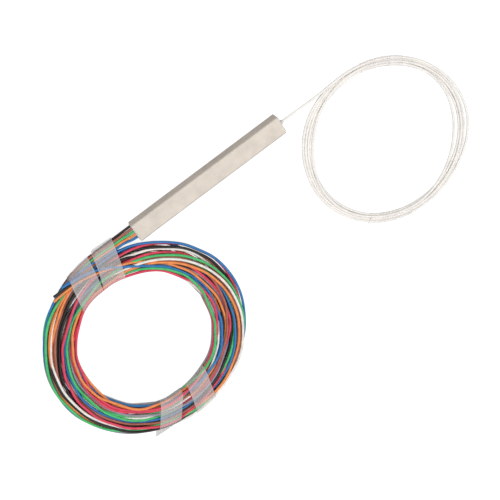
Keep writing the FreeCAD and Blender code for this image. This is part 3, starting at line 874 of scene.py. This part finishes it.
class SPLITTER_OT_input_coil(bpy.types.Operator):
    """Wind the natural input lead into its coil and wrap it with narrow tape"""

    bl_idname = "splitter.input_coil"
    bl_label = "Input lead and wraps"

    def execute(self, context):
        leads = context.scene.splitter_leads
        colours = context.scene.splitter_colours
        low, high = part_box("input_coil")
        tube_low, tube_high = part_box("housing_tube")
        tube_end = tube_low.x / MM
        middle_z = (tube_low.z + tube_high.z) / 2 / MM
        lead_low, lead_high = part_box("lead_input")
        ring = (high.y - low.y) / 2 / MM
        centre = (low.x / MM + ring, high.y / MM - ring)
        laid = (lead_low.x / MM, *INPUT_LAID)
        bend = tube_end - INPUT_BEND_START
        route = [(lead_high.x / MM, 0, middle_z), (bend, 0, middle_z),
                 (bend - INPUT_BEND_RUN, laid[1], laid[2]), laid]
        keys = [INPUT_JOINED]
        for turn, (radii, rank) in enumerate(zip(INPUT_TURNS, INPUT_RANKS)):
            keys += [(b - 360 * turn, r, rank) for b, r in zip(INPUT_BEARINGS, radii)]
        keys.append((INPUT_END - 360 * (len(INPUT_TURNS) - 1), keys[-1][1], keys[-1][2]))
        strand = sampled(keys, leads.step, INPUT_START)
        radii, heights = settled([strand], leads.step, leads.diameter, FLOOR_FILM,
                                 INPUT_TOP, [laid[2]], INPUT_HELD, INPUT_HOLD)[0].T
        points = np.vstack([route, polar(centre, strand[0], radii, heights)])
        cord, line = cord_curve("cord_input", points, leads.diameter,
                                natural_tube(colours.natural))
        film = clear_film("thin_clear_tape", colours.tape, 0.07, 0.25)
        edge = clear_film("thin_clear_tape_edge", darker(colours.tape, 0.1), 0.16, 0.25)
        for name, first in INPUT_WRAPS:
            for k in range(3):
                node = "%s_%d" % (name, k + 1)
                wrap = film_wrap(node + "_film", [line], centre, INPUT_MIDDLE,
                                 first + k * WRAP_STEP, WRAP_SLANT, WRAP_WIDTH, WRAP_ENDS,
                                 leads.diameter, leads.film, (film, edge), INPUT_REACH)
                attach(wrap, "root")
                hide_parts(node)
        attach(cord, "root")
        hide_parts("lead_input", "input_coil")
        return {"FINISHED"}


class SPLITTER_OT_stage(bpy.types.Operator):
    """Set the pale floor, the soft lights and the camera"""

    bl_idname = "splitter.stage"
    bl_label = "Stage"

    def execute(self, context):
        scene = context.scene
        self.floor(scene)
        self.lights(scene)
        self.camera(scene)
        scene.view_settings.view_transform = "Standard"
        return {"FINISHED"}

    def floor(self, scene):
        size = SWEEP_SIZE
        mesh = bpy.data.meshes.new("floor")
        mesh.from_pydata([(-size, -size, 0), (size, -size, 0), (size, size, 0),
                          (-size, size, 0)], [], [(0, 1, 2, 3)])
        floor = bpy.data.objects.new("floor", mesh)
        scene.collection.objects.link(floor)
        material, tree, shader = new_material("white_sweep")
        set_shader(shader, Base_Color=(0.42, 0.42, 0.42, 1), Roughness=0.95)
        shader.inputs["Specular IOR Level"].default_value = 0.1
        # The sweep glows white to the eye and through film; the tube's sheen gets only a
        # share of that glow, which keeps its side darker than its top.
        ray = add_node(tree, "ShaderNodeLightPath")
        straight = add_node(tree, "ShaderNodeMath", operation="MAXIMUM")
        tree.links.new(ray.outputs["Is Camera Ray"], straight.inputs[0])
        tree.links.new(ray.outputs["Is Transmission Ray"], straight.inputs[1])
        sheen = add_node(tree, "ShaderNodeMath", operation="MULTIPLY")
        tree.links.new(ray.outputs["Is Glossy Ray"], sheen.inputs[0])
        sheen.inputs[1].default_value = SHEEN_SHARE
        seen = add_node(tree, "ShaderNodeMath", operation="MAXIMUM")
        tree.links.new(straight.outputs[0], seen.inputs[0])
        tree.links.new(sheen.outputs[0], seen.inputs[1])
        glow = add_node(tree, "ShaderNodeMath", operation="MULTIPLY")
        tree.links.new(seen.outputs[0], glow.inputs[0])
        glow.inputs[1].default_value = SWEEP_GLOW
        tree.links.new(glow.outputs[0], shader.inputs["Emission Strength"])
        set_shader(shader, Emission_Color=(1, 1, 1, 1))
        mesh.materials.append(material)

    def lights(self, scene):
        world = bpy.data.worlds.new("soft_room")
        world.use_nodes = True
        background = world.node_tree.nodes["Background"]
        background.inputs["Color"].default_value = (1, 1, 1, 1)
        background.inputs["Strength"].default_value = ROOM_LIGHT
        scene.world = world
        for name, place, size, power in LAMPS:
            lamp = bpy.data.lights.new(name, "AREA")
            lamp.shape = "SQUARE"
            lamp.size = size
            lamp.energy = power
            light = bpy.data.objects.new(name, lamp)
            light.location = place
            light.rotation_euler = (-Vector(place)).to_track_quat("-Z", "Y").to_euler()
            scene.collection.objects.link(light)

    def camera(self, scene):
        turn, rise, roll = (math.radians(a) for a in (CAMERA_TURN, CAMERA_RISE, CAMERA_ROLL))
        back = Vector((math.sin(turn) * math.cos(rise), -math.cos(turn) * math.cos(rise),
                       math.sin(rise)))
        right = Vector((math.cos(turn), math.sin(turn), 0))
        up = back.cross(right)
        tilted = right * math.cos(roll) + up * math.sin(roll)
        tilted_up = up * math.cos(roll) - right * math.sin(roll)
        camera = bpy.data.objects.new("camera", bpy.data.cameras.new("camera"))
        camera.data.lens = CAMERA_LENS
        camera.data.sensor_width = 36.0
        camera.data.clip_start = 0.01
        camera.matrix_world = Matrix.Translation([c * MM for c in CAMERA_PLACE]) @ Matrix(
            (tilted, tilted_up, back)).transposed().to_4x4()
        scene.collection.objects.link(camera)
        scene.camera = camera


class SPLITTER_PT_panel(bpy.types.Panel):
    """Sizes, colours and pieces of the splitter"""

    bl_idname = "SPLITTER_PT_panel"
    bl_label = "Fibre splitter"
    bl_space_type = "VIEW_3D"
    bl_region_type = "UI"
    bl_category = "Splitter"

    def draw(self, context):
        for group in (context.scene.splitter_leads, context.scene.splitter_colours):
            for name in group.__annotations__:
                self.layout.prop(group, name)
        for operator in OPERATORS:
            self.layout.operator(operator.bl_idname)


OPERATORS = (SPLITTER_OT_housing, SPLITTER_OT_optics, SPLITTER_OT_output_coil,
             SPLITTER_OT_input_coil, SPLITTER_OT_stage)
CLASSES = (SplitterLeads, SplitterColours) + OPERATORS + (SPLITTER_PT_panel,)


def register():
    for cls in CLASSES:
        bpy.utils.register_class(cls)
    bpy.types.Scene.splitter_leads = PointerProperty(type=SplitterLeads)
    bpy.types.Scene.splitter_colours = PointerProperty(type=SplitterColours)


def unregister():
    del bpy.types.Scene.splitter_colours
    del bpy.types.Scene.splitter_leads
    for cls in reversed(CLASSES):
        bpy.utils.unregister_class(cls)


def main():
    register()
    bpy.ops.splitter.housing()
    bpy.ops.splitter.optics()
    bpy.ops.splitter.output_coil()
    bpy.ops.splitter.input_coil()
    bpy.ops.splitter.stage()


if __name__ == "__main__":
    main()
